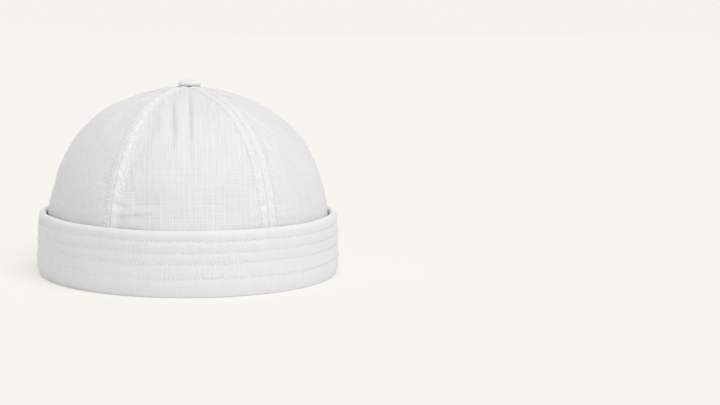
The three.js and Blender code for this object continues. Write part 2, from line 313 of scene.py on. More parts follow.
def fold_lift(folds, name, points):
    """For each fold, its lift times the largest bell curve over sample points along its line, summed.

    The curves follow half a sine wave along the line, so that a fold dies away towards both ends.
    """
    total = np.zeros(points.shape[:-1])
    along = np.linspace(0, 1, FOLD_SAMPLES)
    share = np.sin(np.pi * (0.1 + 0.8 * along))
    for across, high, across_end, low, spread, lift in folds.get(name, []):
        z = high + (low - high) * along
        start, end = panel_edges(name, z)
        centre = (start + end) / 2
        line = dome(centre + (across + (across_end - across) * along) / ring_speed(centre, z), z)
        best = np.zeros(total.shape)
        for point, part in zip(line, share):
            best = np.maximum(best, part * np.exp(-((points - point) ** 2).sum(-1) / spread**2))
        total += lift * best
    return total


def seam_lift(edge):
    """Profile across a sewn edge: the doubled strip, a ridge that slopes away from the seam, half a sine wave
    between the seam and the stitches, and bell-shaped dips at both."""
    strip = SEAM_STRIP["lift"] * ease(0, SEAM_STRIP["full"], edge) * (1 - ease(*SEAM_STRIP["falls"], edge))
    strip = strip + SEAM_RIDGE["lift"] * np.clip(1 - edge / SEAM_RIDGE["reach"], 0, 1)
    pillow = SEAM_PILLOW * np.sin(np.pi * np.clip(edge / TOPSTITCH_IN, 0, 1))
    groove = SEAM_GROOVE["depth"] * hump(edge, 0, SEAM_GROOVE["spread"])
    dip = TOPSTITCH_DIP["depth"] * hump(edge, TOPSTITCH_IN, TOPSTITCH_DIP["spread"])
    return strip + pillow - groove - dip


def seam_pucker(edge, run, seed):
    """Slanting gathers that the stitching pulls up: ripples along the seam, full in the strip and weaker up
    to 15 mm from the seam, and smaller lumps in the strip alone."""
    inside = ease(0.2, 1.6, edge) * (1 - ease(4.2, 5.2, edge))
    beyond = ease(5.2, 6.6, edge) * (1 - ease(7, 15, edge))
    waves = ripple(run + 0.3 * edge, 0.12 * edge, seed, 4.2, 12.0)
    lumps = ripple(run, 1.4 * edge, seed + 3, 2.2, 4.2)
    return waves * (PUCKER["strip"] * inside + PUCKER["beyond"] * beyond) + PUCKER["lumps"] * lumps * inside


def crown_surface(name, share, z):
    """Dome point at a share of the way across a panel, the way out there, the cloth's lift over it and the
    distance from the nearer seam.

    The distance is scaled so that the strip's stitches lie at TOPSTITCH_IN. The lift is the sum of the sewn
    edge, its gathers, the folds and creases, the slack cloth's ripples and the rise under the button.
    """
    start, end = panel_edges(name, z)
    seed = PANELS[name]["seed"]
    points = dome(start + share * (end - start), z)
    width, tight = panel_width(name, z)
    strip = np.where(share < 0.5, *PANELS[name]["strips"])
    near = np.minimum(share, 1 - share) * width / tight * TOPSTITCH_IN / strip
    run = np.interp(z, OUTLINE_Z, OUTLINE_RUN)
    across = (share - 0.5) * width
    pucker_seed = seed + 40 * (share > 0.5)  # one seed, made of the numbers of all the shares
    lift = tight * (seam_lift(near) + seam_pucker(near, run, pucker_seed))
    free = ease(1.5, 9, near)
    folds = fold_lift(FOLDS, name, points) * (FOLD_AT_SEAM + (1 - FOLD_AT_SEAM) * free)
    lift = lift + folds + fold_lift(CREASES, name, points)
    slow, quick = ripple(across, run, seed + 7, 22, 60), ripple(across, run, seed + 8, 4, 9)
    slack = SLACK["slow"] * slow + SLACK["quick"] * quick
    lift = lift + free * tight * slack + top_lift(z)
    return points, dome_out(points), lift, near


def cloth_map(points):
    """Flat cloth coordinates of a panel grid, in millimetres.

    u is the length along a row from the centre column. v is the length up the centre column, less the
    running sum along the row of (change of u up the panel) times du, which keeps the two thread
    directions square to each other.
    """
    step = np.linalg.norm(np.diff(points, axis=1), axis=-1)
    u = np.concatenate([np.zeros((len(points), 1)), np.cumsum(step, axis=1)], axis=1)
    middle = u.shape[1] // 2
    u = u - u[:, middle : middle + 1]
    up = running_length(points[:, middle])
    slope = np.gradient(u, up, axis=0)
    change = (slope[:, 1:] + slope[:, :-1]) / 2 * step
    drift = np.concatenate([np.zeros((len(u), 1)), np.cumsum(change, axis=1)], axis=1)
    return np.stack([u, up[:, None] - (drift - drift[:, middle : middle + 1])], -1)


# Meshes


def write_mesh(name, points, corners, sizes, cloth, sharp=40):
    """Puts points in millimetres, faces as runs of corner indices, and corner UVs into a new object."""
    mesh = bpy.data.meshes.new(name)
    mesh.vertices.add(len(points))
    mesh.vertices.foreach_set("co", (points * MM).ravel())
    mesh.loops.add(len(corners))
    mesh.loops.foreach_set("vertex_index", corners)
    mesh.polygons.add(len(sizes))
    mesh.polygons.foreach_set("loop_start", np.concatenate([[0], np.cumsum(sizes)[:-1]]))
    mesh.update(calc_edges=True)
    mesh.uv_layers.new(name="cloth").data.foreach_set("uv", cloth.ravel())
    mesh.polygons.foreach_set("use_smooth", np.ones(len(sizes), bool))
    mesh.set_sharp_from_angle(angle=np.radians(sharp))
    piece = bpy.data.objects.new(name, mesh)
    bpy.context.scene.collection.objects.link(piece)
    return piece


def mark(piece, name, values):
    """Keeps a value for each point of a piece under a name that its material reads."""
    piece.data.attributes.new(name, "FLOAT", "POINT").data.foreach_set("value", values)


def quads(rows, columns, count_rows, count_columns):
    """Point numbers at the four corners of every cell in a block of rows by columns, wrapped at the counts,
    and the corners' rows and columns before they are wrapped."""
    r, c = (a.ravel() for a in np.mgrid[0:rows, 0:columns])
    rows4 = np.stack([r, r, r + 1, r + 1], -1)
    columns4 = np.stack([c, c + 1, c + 1, c], -1)
    return (rows4 % count_rows) * count_columns + columns4 % count_columns, rows4, columns4


def shell_piece(name, outer, inner, cloth):
    """Closed wall between two point grids: both faces and the four strips that join their borders."""
    rows, columns = outer.shape[:2]
    index = np.arange(rows * columns).reshape(rows, columns)
    face, _, _ = quads(rows - 1, columns - 1, rows, columns)
    back = face[:, ::-1] + rows * columns
    border = np.concatenate([index[0, :-1], index[:-1, -1], index[-1, :0:-1], index[:0:-1, 0]])
    ahead = np.roll(border, -1)
    rim = np.stack([ahead, border, border + rows * columns, ahead + rows * columns], -1)
    faces = np.concatenate([face, back, rim])
    flat = cloth.reshape(-1, 2)
    corners = faces.ravel()
    points = np.concatenate([outer.reshape(-1, 3), inner.reshape(-1, 3)])
    return write_mesh(name, points, corners, np.full(len(faces), 4), flat[corners % (rows * columns)])


def crown_panel(name):
    """A sewn panel, its flat size and its flat area.

    It is a grid across and up the dome, lifted by its seams and folds, with its wall inside. The columns lie
    at x less a share of sin(2 pi x) / (2 pi) for even x, so they close up at the seams. The points are
    marked with a painted highlight for the sewn strips, and with painted shade along the stitched rows and
    in the seam's groove.
    """
    run = np.linspace(0, OUTLINE_RUN[-1], PANEL_ROWS + 1)
    z = np.interp(run, OUTLINE_RUN, OUTLINE_Z)[:, None]
    even = np.linspace(0, 1, PANELS[name]["columns"] + 1)
    share = even - COLUMN_CROWDING * np.sin(2 * np.pi * even) / (2 * np.pi)
    points, out, lift, near = crown_surface(name, share[None, :], z)
    cloth = cloth_map(points)
    outer = points + out * lift[..., None]
    inner = points + out * (np.clip(lift, *INNER_LIFT) - CLOTH_WALL)[..., None]
    piece = shell_piece("cloth_" + name, outer, inner, cloth)
    # painted highlight on the sewn strips: blotchy, and scaled for each strip
    uneven = ripple(run[:, None], near, PANELS[name]["seed"] + 21, 2.4, 7.0)
    sewn_strip_highlight = (1 - ease(4.8, 6.4, near + 0.5 * uneven)) * np.clip(0.8 + 0.27 * uneven, 0, 1.2)
    sewn_strip_highlight = sewn_strip_highlight * np.where(share < 0.5, *PANELS[name]["painted_strip_highlight"])
    mark(piece, "sewn_strip_highlight", np.tile(sewn_strip_highlight.ravel(), 2))
    # painted shade along the stitched rows, and more of it in the seam's groove
    lines = hump(near, TOPSTITCH_IN, 0.5) + 2.8 * hump(near, 0, 0.4)
    mark(piece, "painted_stitch_shade", np.tile(lines.ravel(), 2))
    u = cloth[..., 0]
    area = float(((u[:, -1] - u[:, 0])[:-1] * np.diff(run)).sum())
    return piece, (float(np.ptp(u)), float(run[-1])), area


def stitch_row(path, out, pitch, length, radius, slant):
    """Tubes of short thread humps along a path of points, as an array of stitch, ring, corner and xyz.

    Each stitch is a tube round a short arch: along s from -1 to 1 the centre is length/2 times s along the
    path, slanted sideways by slant times that, and sunk at both ends by the square of s. The tube's radius
    is that of the thread times the fourth root of 1 - s^4, so that it closes at the ends.
    """
    run = running_length(path)
    count = max(1, int(round(run[-1] / pitch)))
    at = (np.arange(count) + 0.5) * run[-1] / count

    def at_stitches(values):
        return np.stack([np.interp(at, run, values[:, k]) for k in range(3)], -1)

    def offset(amount, way):
        return amount[None, ..., None] * way[:, None, None]

    centre, normal = at_stitches(path), at_stitches(out)
    along = at_stitches(np.gradient(path, run, axis=0))
    along /= np.linalg.norm(along, axis=-1, keepdims=True)
    side = np.cross(normal, along)
    side /= np.linalg.norm(side, axis=-1, keepdims=True)
    normal = np.cross(along, side)
    s = STITCH_RINGS
    turn = np.linspace(0, 2 * np.pi, STITCH_SIDES, endpoint=False)
    thick = radius * (1 - s**4) ** 0.25
    lead = (length / 2) * s
    up = radius * (0.75 - 1.5 * s**2)
    ring_side = thick[:, None] * np.cos(turn) + (slant * lead)[:, None]
    ring_up = thick[:, None] * np.sin(turn) + up[:, None]
    ring_lead = np.broadcast_to(lead[:, None], ring_up.shape)
    rings = offset(ring_lead, along) + offset(ring_side, side) + offset(ring_up, normal)
    return centre[:, None, None] + rings


def stitch_piece(name, tubes):
    """Joins stitch tubes, given as arrays of stitch, ring, corner and xyz, into one mesh of closed tubes."""
    tubes = np.concatenate(tubes)
    count, rings, around = tubes.shape[:3]
    each = rings * around
    face, at_ring, at_side = quads(rings - 1, around, rings, around)
    start = (np.arange(count) * each)[:, None, None]
    sides = (face[None, :, ::-1] + start).reshape(-1, 4)
    first = (np.arange(around)[None, :] + start[:, :, 0]).reshape(-1, around)
    last = ((each - 1 - np.arange(around))[None, :] + start[:, :, 0]).reshape(-1, around)
    corners = np.concatenate([sides.ravel(), first.ravel(), last.ravel()])
    sizes = np.concatenate([np.full(len(sides), 4), np.full(2 * count, around)])
    side_uv = np.stack([at_side[:, ::-1] / around, at_ring[:, ::-1] / (rings - 1)], -1)
    cloth = np.concatenate([np.tile(side_uv.reshape(-1, 2), (count, 1)), np.zeros((2 * count * around, 2))])
    return write_mesh(name, tubes.reshape(-1, 3), corners, sizes, cloth, sharp=80)


def seam_stitches():
    """Two rows of topstitching for each seam, one on each of its panels, from inside the cuff upwards."""
    low, high = OUTLINE_RUN[0] + SEAM_ROW["from_foot"], OUTLINE_RUN[-1] - SEAM_ROW["from_top"]
    z = np.interp(np.linspace(low, high, SEAM_ROW["points"]), OUTLINE_RUN, OUTLINE_Z)
    tubes = []
    for name in PANELS:
        width, tight = panel_width(name, z)
        first, last = (strip * tight / width for strip in PANELS[name]["strips"])
        for share in (first, 1 - last):
            points, out, lift, _ = crown_surface(name, share, z)
            tubes.append(stitch_row(points + out * lift[:, None], out, **SEAM_STITCH))
    return stitch_piece("crown_stitches", tubes)


# The cuff


def cuff_base(azimuth):
    """Foot oval of the crown and the level direction straight out of it."""
    base = dome(azimuth, 0 * azimuth)
    return base, dome_out(base)


def round_the_cuff(size, azimuth):
    """A size of the cuff eased from its side value to its front or back one by a power of the cosine."""
    c = np.cos(azimuth)
    end = np.where(c > 0, size["front"], size["back"])
    return size["side"] + (end - size["side"]) * np.abs(c) ** CUFF_FALL


def cuff_height(azimuth):
    """Top edge round the cuff, with a slight wave of two sines."""
    wave = 0.12 * np.sin(5 * azimuth + 0.6) + 0.1 * np.sin(11 * azimuth + 2.1)
    return round_the_cuff(CUFF_HEIGHT, azimuth) + wave


def cuff_face(azimuth, z, high):
    """Plain outer face: a straight slope from foot to top edge, drawn in near the foot by a square law."""
    top = round_the_cuff(CUFF_TOP_OUT, azimuth)
    tuck = CUFF_TUCK["in"] * np.clip(1 - z / CUFF_TUCK["rise"], 0, None) ** 2
    return CUFF_FOOT_OUT + (top - CUFF_FOOT_OUT) * z / high - tuck


def row_sway(azimuth, row):
    """Small wander of a stitched row up and down round the cuff: three sines of its own phase."""
    slow = 0.13 * np.sin(3 * azimuth + 1.7 * row) + 0.1 * np.sin(8 * azimuth + 2.9 * row)
    return slow + 0.07 * np.sin(19 * azimuth + row)


def cuff_lines(azimuth, high):
    """Distances down from the top edge of the roll's end, the four stitched rows and the foot's corner."""
    rows = [row + row_sway(azimuth, i) for i, row in enumerate(CUFF_ROWS)]
    return [CUFF_ROLL_RISE + 0 * high, *rows, high - CUFF_CORNER["outer"]]


def row_fullness(azimuth):
    """How strongly the rows are drawn in round the cuff: one, less a bell curve on the right."""
    return 1 - CUFF_FLATTER["share"] * hump(azimuth, CUFF_FLATTER["azimuth"], CUFF_FLATTER["spread"])


def cuff_quilting(azimuth, down, run, high):
    """Outer face's relief: swelling between stitched rows, a dip at each row and slanting drag lines by it.

    The swelling is half a sine wave of a power of the share of the way down, which moves its crest upwards.
    Above the first row it starts full, where the top roll ends.
    """
    lines = cuff_lines(azimuth, high)
    full = row_fullness(azimuth)
    relief = 0.06 * ripple(run, 1.6 * down, 72, 14, 40) * ease(CUFF_ROLL_RISE, CUFF_ROLL_RISE + 3, down)
    for upper, lower, swell, start in zip(lines[:-1], lines[1:], CUFF_SWELL, (0.5, 0, 0, 0, 0)):
        across = np.clip((down - upper) / (lower - upper), 0, 1)
        relief = relief + full * swell * np.sin(np.pi * (start + (1 - start) * across ** CUFF_SWELL_SKEW))
    drag = ripple(run + 0.9 * down, 0.15 * down, 71, 3.4, 9.0)
    for line, depth in zip(lines[1:-1], CUFF_ROW_DEPTH):
        relief = relief - full * depth * (0.7 * hump(down, line, 0.5) + 0.3 * hump(down, line, 1.3))
        relief = relief + 0.09 * drag * hump(down, line, 2.2)
    return relief


def steps(first, last, count):
    """Even steps, along the second axis, from a first value up to but not including a last one."""
    return np.linspace(0, 1, count, endpoint=False)[None, :] * (last - first) + first


def face_points(lines):
    """Distances down the outer face of the section's points, from the foot up: close to each line, and evenly
    spaced between."""
    spans = []
    for upper, lower, between in zip(lines[:-1], lines[1:], CUFF_BETWEEN_LINES):
        near = CUFF_BY_A_LINE * np.minimum(1, (lower - upper) / 4)
        first, last = upper + near, lower - near[:, :0:-1]
        middle = np.linspace(0, 1, between + 2)[None, 1:-1]
        spans += [first, first[:, -1:] + (last[:, :1] - first[:, -1:]) * middle, last]
    return np.concatenate(spans + [lines[-1]], 1)[:, ::-1]


def cuff_section(azimuth):
    """Closed section of the cuff for each azimuth, as distances out from the crown and heights.

    It runs up the outer face, over the top roll, which is a half ellipse, down the inner face, along the fold
    under the crown, and back over the flat foot and its quarter-round corners. The third array is the painted
    shade along the stitched rows at each point.
    """
    turned = azimuth[:, None]
    high = cuff_height(turned)
    run = running_length(cuff_base(azimuth)[0])[:, None] * CUFF_RUN_RATIO

    def out_at(z):
        return cuff_face(turned, z, high)

    lines = cuff_lines(turned, high)
    down = face_points(lines)
    face_z = high - down
    face = out_at(face_z) + cuff_quilting(turned, down, run, high)

    turn = steps(0.0, np.pi, 18) + 0 * high
    outer_half = np.cos(turn) > 0
    centre = out_at(high) - CUFF_ROLL
    roll_z = high - np.where(outer_half, CUFF_ROLL_RISE, CUFF_ROLL) * (1 - np.sin(turn))
    roll = centre + np.where(outer_half, face[:, -1:] - centre, CUFF_ROLL) * np.cos(turn)

    inner_z = steps(high - CUFF_ROLL, CUFF_FOLD + 0 * high, 12)
    thicker = (2 * CUFF_ROLL - CUFF_WALL) * ease(high - CUFF_ROLL_BLEND, high - CUFF_ROLL, inner_z)
    inner = out_at(inner_z) - CUFF_WALL - thicker
    fold = steps(out_at(CUFF_FOLD) - CUFF_WALL, -CLOTH_WALL + 0 * high, 7)

    heel, toe = CUFF_CORNER["inner"], CUFF_CORNER["outer"]
    heel_z = steps(CUFF_FOLD, heel, 3) + 0 * high
    heel_turn = steps(0.0, np.pi / 2, 4) + 0 * high
    sole = steps(-CLOTH_WALL + heel + 0 * high, out_at(toe) - toe, 6)
    toe_turn = steps(0.0, np.pi / 2, 5) + 0 * high
    stretches = [
        (face[:, :-1], face_z[:, :-1]),
        (roll, roll_z),
        (inner, inner_z),
        (fold, CUFF_FOLD + 0 * fold),
        (-CLOTH_WALL + 0 * heel_z, heel_z),
        (-CLOTH_WALL + heel * (1 - np.cos(heel_turn)), heel * (1 - np.sin(heel_turn))),
        (sole, 0 * sole),
        (out_at(toe) - toe * (1 - np.sin(toe_turn)), toe * (1 - np.cos(toe_turn))),
    ]
    out, up = (np.concatenate(parts, 1) for parts in zip(*stretches))
    # painted shade along the stitched rows of the outer face, weaker where the rows lie flatter
    painted_stitch_shade = np.zeros(out.shape)
    by_rows = sum(hump(down, line, 0.5) for line in lines[1:-1])
    painted_stitch_shade[:, : down.shape[1]] = row_fullness(turned) * by_rows
    return out, up, painted_stitch_shade


def cuff_piece():
    """The cuff and its flat size: the section carried round the foot oval, closed both ways, with lengths of
    cloth as its UVs. Laid flat, the closed section is half as high as the run round it."""
    azimuth = np.linspace(-np.pi, np.pi, CUFF_COLUMNS, endpoint=False)
    out, up, painted_stitch_shade = cuff_section(azimuth)
    base, way = cuff_base(azimuth)
    points = base[:, None] + way[:, None] * out[..., None]
    points[..., 2] = up
    columns, rows = out.shape
    face, at_column, at_row = quads(columns, rows, columns, rows)
    ring = points[:, CUFF_FACE_POINT]
    round_run = running_length(np.concatenate([ring, ring[:1]]))
    section = points[CUFF_COLUMNS // 4]
    up_run = running_length(np.concatenate([section, section[:1]]))
    cloth = np.stack([round_run[at_column], up_run[at_row]], -1).reshape(-1, 2)
    sizes = np.full(len(face), 4)
    piece = write_mesh("cloth_cuff", points.reshape(-1, 3), face.ravel(), sizes, cloth, sharp=60)
    mark(piece, "painted_stitch_shade", painted_stitch_shade.ravel())
    return piece, (float(round_run[-1]), float(up_run[-1] / 2))


def cuff_stitches():
    """The cuff's four rows of topstitching, each following its own row round the outer face."""
    azimuth = np.linspace(-np.pi, np.pi, CUFF_ROW_POINTS)
    base, way = cuff_base(azimuth)
    run = running_length(base) * CUFF_RUN_RATIO
    high = cuff_height(azimuth)
    tubes = []
    for i, row in enumerate(CUFF_ROWS):
        down = row + row_sway(azimuth, i)
        z = high - down
        out = cuff_face(azimuth, z, high) + cuff_quilting(azimuth, down, run, high)
        path = base + way * out[:, None]
        path[:, 2] = z
        tubes.append(stitch_row(path, way, **CUFF_STITCH))
    return stitch_piece("cuff_stitches", tubes)


# The button


def button_piece():
    """A low dome turned about the axis: its radius follows a power of the cosine of an angle and its height
    the sine, over a flat underside, with faint radial pleats where the cloth is drawn under."""
    around = BUTTON_SIDES
    turn = np.linspace(0, 2 * np.pi, around, endpoint=False)
    angle = np.linspace(0, np.pi / 2, BUTTON_RINGS)
    foot_r = np.array([2.0, 4.4, BUTTON_RADIUS - 0.45, BUTTON_RADIUS - 0.35, BUTTON_RADIUS - 0.14])
    foot_z = np.array([0.0, 0.0, 0.0, -BUTTON_SKIRT, -BUTTON_SKIRT])
    r = np.concatenate([foot_r, BUTTON_RADIUS * np.cos(angle[:-1]) ** 0.92])
    z = np.concatenate([foot_z, BUTTON_SIDE + (BUTTON_HEIGHT - BUTTON_SIDE) * np.sin(angle[:-1])])
    pleat = 0.05 * np.sin(23 * turn) + 0.035 * np.sin(37 * turn + 1)
    share = hump(z, 0.3, 0.8)[:, None] * ease(4.5, 6.5, r)[:, None]
    radius = r[:, None] + pleat[None, :] * share
    high = np.broadcast_to(z[:, None], radius.shape) + BUTTON_UNDERSIDE
    rings = np.stack([radius * np.sin(turn), -radius * np.cos(turn), high], -1)
    count = len(r)
    face, _, _ = quads(count - 1, around, count, around)
    poles = [[0, 0, BUTTON_UNDERSIDE], [0, 0, BUTTON_UNDERSIDE + BUTTON_HEIGHT]]
    points = np.concatenate([rings.reshape(-1, 3), poles])
    edge = np.arange(around)
    ahead = (edge + 1) % around
    foot = np.stack([np.full(around, len(points) - 2), ahead, edge], -1)
    last = (count - 1) * around
    top = np.stack([np.full(around, len(points) - 1), edge + last, ahead + last], -1)
    corners = np.concatenate([face.ravel(), foot.ravel(), top.ravel()])
    sizes = np.concatenate([np.full(len(face), 4), np.full(2 * around, 3)])
    return write_mesh("cloth_button", points, corners, sizes, points[corners][:, :2], sharp=70)


# Materials

BACKDROP = (0.9105, 0.8938, 0.8528, 1)  # pale studio ground
# white of the thick threads, and of the painted highlight on the sewn strips; the side panels' is a little
# darker
THREAD_WHITE_AND_HIGHLIGHT = (0.91, 0.902, 0.897, 1)  # thick threads and sewn strips
SIDE_THREAD_WHITE_AND_HIGHLIGHT = (0.89, 0.882, 0.877, 1)
# colour of the painted shade at a stitch's ends
PAINTED_THREAD_END_SHADE = (0.5, 0.495, 0.49, 1)
WEFT_FADES = (52.0, 85.0)  # millimetres up a panel between which the threads across it grow fainter
CROWN_WEAVE = {"pitch": 0.46, "slub": 0.9, "relief": 0.0002}
CUFF_WEAVE = {"pitch": 0.5, "slub": 0.5, "relief": 0.00016}
BUTTON_WEAVE = {"pitch": 0.5, "slub": 0.6, "relief": 0.00014}


class Shading:
    """A node tree with short ways to add nodes, set their inputs and link sockets."""

    def __init__(self, tree):
        self.tree = tree

    def add(self, kind, values=None, **settings):
        node = self.tree.nodes.new(kind)
        for key, value in settings.items():
            setattr(node, key, value)
        for key, value in (values or {}).items():
            if isinstance(value, bpy.types.NodeSocket):
                self.tree.links.new(value, node.inputs[key])
            else:
                node.inputs[key].default_value = value
        return node

    def link(self, output, socket):
        self.tree.links.new(output, socket)

    def math(self, operation, a, b=0.0, c=0.0):
        return self.add("ShaderNodeMath", {0: a, 1: b, 2: c}, operation=operation).outputs[0]

    def fade(self, value, low, high, start=0.0, end=1.0):
        node = self.add(
            "ShaderNodeMapRange",
            {"Value": value, "From Min": low, "From Max": high, "To Min": start, "To Max": end},
            interpolation_type="SMOOTHSTEP",
        )
        return node.outputs["Result"]

    def noise(self, vector, scale, detail=2.0):
        node = self.add("ShaderNodeTexNoise", {"Vector": vector, "Scale": scale, "Detail": detail})
        return node.outputs["Fac"]

    def stretch(self, vector, scale, detail=2.0):
        moved = self.add("ShaderNodeMapping", {"Vector": vector, "Scale": scale})
        return self.noise(moved.outputs[0], 1.0, detail)

    def mix(self, factor, first, second):
        node = self.add("ShaderNodeMix", {0: factor, 6: first, 7: second}, data_type="RGBA")
        return node.outputs[2]

    def bump(self, strength, distance, height):
        values = {"Strength": strength, "Distance": distance, "Height": height}
        return self.add("ShaderNodeBump", values).outputs[0]

    def placed(self, name, values):
        return self.add("ShaderNodeGroup", values, node_tree=bpy.data.node_groups[name]).outputs


def group(name, inputs, outputs):
    """A new shader node group with the named sockets: its nodes, the values given to it and its end node."""
    tree = bpy.data.node_groups.new(name, "ShaderNodeTree")
    for label, kind, value in inputs:
        socket = tree.interface.new_socket(label, in_out="INPUT", socket_type=kind)
        if value is not None:
            socket.default_value = value
    for label, kind in outputs:
        tree.interface.new_socket(label, in_out="OUTPUT", socket_type=kind)
    nodes = Shading(tree)
    return nodes, nodes.add("NodeGroupInput").outputs, nodes.add("NodeGroupOutput")


def woven_threads():
    """Plain weave: over-and-under bumps of a given thread pitch, with slubs along both thread ways."""
    n, given, result = group(
        "woven_threads",
        [
            ("Cloth", "NodeSocketVector", None),
            ("Pitch", "NodeSocketFloat", 0.45),
            ("Slub", "NodeSocketFloat", 0.5),
        ],
        [("Height", "NodeSocketFloat"), ("Tone", "NodeSocketFloat")],
    )
    place = n.add("ShaderNodeSeparateXYZ", {0: given["Cloth"]}).outputs
    turn = n.math("DIVIDE", 2 * np.pi, given["Pitch"])
    warp = n.math("SINE", n.math("MULTIPLY", place[0], turn))
    weft = n.math("SINE", n.math("MULTIPLY", place[1], turn))
    bump = n.math("MULTIPLY", warp, weft)
    slub_up = n.stretch(given["Cloth"], (1.1, 0.05, 1.0))
    slub_over = n.stretch(given["Cloth"], (0.05, 1.1, 1.0))
    slub = n.math("ADD", n.math("MULTIPLY", slub_up, 0.7), n.math("MULTIPLY", slub_over, 0.3))
    slub = n.math("MULTIPLY", n.math("SUBTRACT", slub, 0.5), given["Slub"])
    height = n.math("MULTIPLY_ADD", bump, 0.16, n.math("ADD", slub, 0.5))
    tone = n.math("MULTIPLY_ADD", bump, 0.12, n.math("ADD", n.math("MULTIPLY", slub, 1.6), 0.5))
    n.link(height, result.inputs["Height"])
    n.link(tone, result.inputs["Tone"])


def ripstop_grid():
    """Thicker threads at a spacing across and along the cloth, with finer ones between, uneven along their
    length, and a painted shadow just under each thread running across. Those grow fainter up the panel."""
    n, given, result = group(
        "ripstop_grid",
        [
            ("Cloth", "NodeSocketVector", None),
            ("Across Spacing", "NodeSocketFloat", 3.3),
            ("Along Spacing", "NodeSocketFloat", 4.2),
            ("Line Width", "NodeSocketFloat", 0.4),
            ("Warp", "NodeSocketFloat", 1.0),
            ("Weft High Up", "NodeSocketFloat", 0.4),
        ],
        [("Lines", "NodeSocketFloat"), ("Shade", "NodeSocketFloat")],
    )
    sway = n.math("MULTIPLY", n.math("SUBTRACT", n.stretch(given["Cloth"], (0.12, 0.12, 1.0)), 0.5), 1.1)
    place = n.add("ShaderNodeSeparateXYZ", {0: given["Cloth"]}).outputs

    def thread(axis, spacing, strength, part, weight, offset=0.0):
        shifted = n.math("ADD", n.math("ADD", place[axis], sway), offset)
        away = n.math("PINGPONG", shifted, n.math("MULTIPLY", given[spacing], part))
        line = n.fade(n.math("DIVIDE", away, given["Line Width"]), 0.2, 1.0, 1.0, 0.0)
        return n.math("MULTIPLY", n.math("MULTIPLY", line, strength), weight)

    def threads(axis, spacing, strength, weight):
        main = thread(axis, spacing, strength, 0.5, weight)
        return n.math("MAXIMUM", main, thread(axis, spacing, strength, 0.25, 0.3))

    warp = n.fade(n.stretch(given["Cloth"], (0.45, 0.035, 1.0)), 0.34, 0.66, 0.35, 1.0)
    weft = n.fade(n.stretch(given["Cloth"], (0.035, 0.45, 1.0)), 0.34, 0.66, 0.1, 1.0)
    patchy = n.fade(n.stretch(given["Cloth"], (0.045, 0.03, 1.0)), 0.36, 0.62, 0.65, 1.15)
    warp = n.math("MULTIPLY", n.math("MULTIPLY", warp, patchy), given["Warp"])
    weft = n.math("MULTIPLY", weft, n.fade(place[1], *WEFT_FADES, 1.0, given["Weft High Up"]))
    up = threads(0, "Across Spacing", warp, 1.0)
    over = threads(1, "Along Spacing", weft, 0.5)
    n.link(n.math("MAXIMUM", up, over), result.inputs["Lines"])
    # painted shadow just below each thread across
    n.link(thread(1, "Along Spacing", weft, 0.5, 1.0, 0.55), result.inputs["Shade"])


def cotton_tone():
    """Faint clouding of white cotton: slow and quick noise over the piece, from about 0 to 1."""
    n, given, result = group(
        "cotton_tone", [("Place", "NodeSocketVector", None)], [("Tone", "NodeSocketFloat")]
    )
    slow = n.noise(given["Place"], 22.0, 3.0)
    quick = n.noise(given["Place"], 420.0)
    n.link(n.math("MULTIPLY_ADD", slow, 0.6, n.math("MULTIPLY", quick, 0.4)), result.inputs["Tone"])


def new_material(name, roughness, **values):
    """A material with a Principled shader whose plain values are set on its own sockets."""
    material = bpy.data.materials.new(name)
    material.use_nodes = True
    shader = material.node_tree.nodes["Principled BSDF"]
    shader.inputs["Roughness"].default_value = roughness
    for label, value in values.items():
        shader.inputs[label.replace("_", " ")].default_value = value
    return material, Shading(material.node_tree), shader


def cotton(name, dark, light, weave, row_shade, ripstop=None, thread_white_and_highlight=None, weft_shade=0.0, strip=0.0):
    """White cotton: weave and slub tone between two whites, with painted shade along stitched rows and seam
    grooves. Where ripstop threads are asked for, they are raised and whiter, the sewn strips get a painted
    highlight, and the threads across the cloth a painted shadow under them."""
    sheen = {"Sheen_Weight": 0.12, "Sheen_Roughness": 0.6}
    material, n, shader = new_material(name, 0.92, Specular_IOR_Level=0.25, **sheen)
    uv = n.add("ShaderNodeUVMap", uv_map="cloth").outputs[0]
    place = n.add("ShaderNodeTexCoord").outputs["Object"]
    woven = n.placed("woven_threads", {"Cloth": uv, "Pitch": weave["pitch"], "Slub": weave["slub"]})
    cloud = n.placed("cotton_tone", {"Place": place})["Tone"]
    tone = n.math("MULTIPLY_ADD", woven["Tone"], 0.72, n.math("MULTIPLY", cloud, 0.28))
    colour = n.mix(n.fade(tone, 0.25, 0.75), dark, light)
    # colour of painted shade: three quarters of the darker white
    shaded = tuple(0.75 * c for c in dark[:3]) + (1,)
    height = woven["Height"]
    if ripstop:
        grid = n.placed("ripstop_grid", {"Cloth": uv, **ripstop})
        sewn_strip_highlight = n.add("ShaderNodeAttribute", attribute_name="sewn_strip_highlight").outputs["Fac"]
        lines = n.math("MULTIPLY", grid["Lines"], n.fade(sewn_strip_highlight, 0.0, 1.0, 1.0, 0.35))
        # painted shadow under the threads across, weaker on the sewn strips
        shade = n.math("MULTIPLY", grid["Shade"], n.fade(sewn_strip_highlight, 0.0, 1.0, weft_shade, 0.06))
        colour = n.mix(shade, colour, shaded)
        colour = n.mix(lines, colour, thread_white_and_highlight)
        # painted highlight on the sewn strips, at the strip's share
        colour = n.mix(n.math("MULTIPLY", sewn_strip_highlight, strip), colour, thread_white_and_highlight)
        height = n.math("MULTIPLY_ADD", lines, 0.9, height)
    # painted shade along the stitched rows and in the seam grooves
    painted_stitch_shade = n.add("ShaderNodeAttribute", attribute_name="painted_stitch_shade").outputs["Fac"]
    colour = n.mix(n.math("MULTIPLY", painted_stitch_shade, row_shade), colour, shaded)
    n.link(colour, shader.inputs["Base Color"])
    n.link(n.bump(0.6, weave["relief"], height), shader.inputs["Normal"])
    return material


